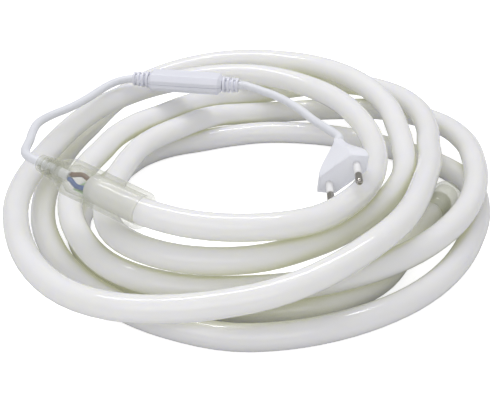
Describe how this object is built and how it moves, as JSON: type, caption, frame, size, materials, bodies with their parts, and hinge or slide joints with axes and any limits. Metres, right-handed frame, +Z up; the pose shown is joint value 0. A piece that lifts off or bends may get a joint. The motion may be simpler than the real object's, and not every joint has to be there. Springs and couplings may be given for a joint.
{
  "type": "led neon flex",
  "caption": "Loose coil of round milky LED neon flex with a clear end sleeve, a white lead with an inline rectifier box and a two-pin mains plug.",
  "frame": {"origin": "centre of the coil's footprint on the floor it lies on, measured over the flex, its end sleeve, gland and end cap", "axes": "+Z up out of the coil, -Y towards the side with the clear sleeve and the gap under the lowest front turn, +X to the right seen from there"},
  "size_m": [0.279, 0.3072, 0.068],
  "materials": {
    "flex_white": "milky glossy PVC",
    "clear_plastic": "clear moulded PVC",
    "brown_wire_skin": "brown wire insulation",
    "blue_wire_skin": "blue wire insulation",
    "lead_white": "white cable sheath",
    "box_white": "white moulded plastic",
    "pin_white": "white pin insulation",
    "nickel": "nickel plated pin tips"
  },
  "bodies": {
    "root": {"neon_flex": "flex_white", "power_sleeve": "clear_plastic", "cable_gland": "clear_plastic", "end_cap": "clear_plastic", "brown_wire": "brown_wire_skin", "blue_wire": "blue_wire_skin", "flex_lead": "lead_white", "rectifier_box": "box_white", "box_relief_in": "box_white", "box_relief_out": "box_white", "plug_lead": "lead_white", "plug_body": "box_white", "pin_sleeve_left": "pin_white", "pin_sleeve_right": "pin_white", "pin_left": "nickel", "pin_right": "nickel"}
  },
  "joints": []
}
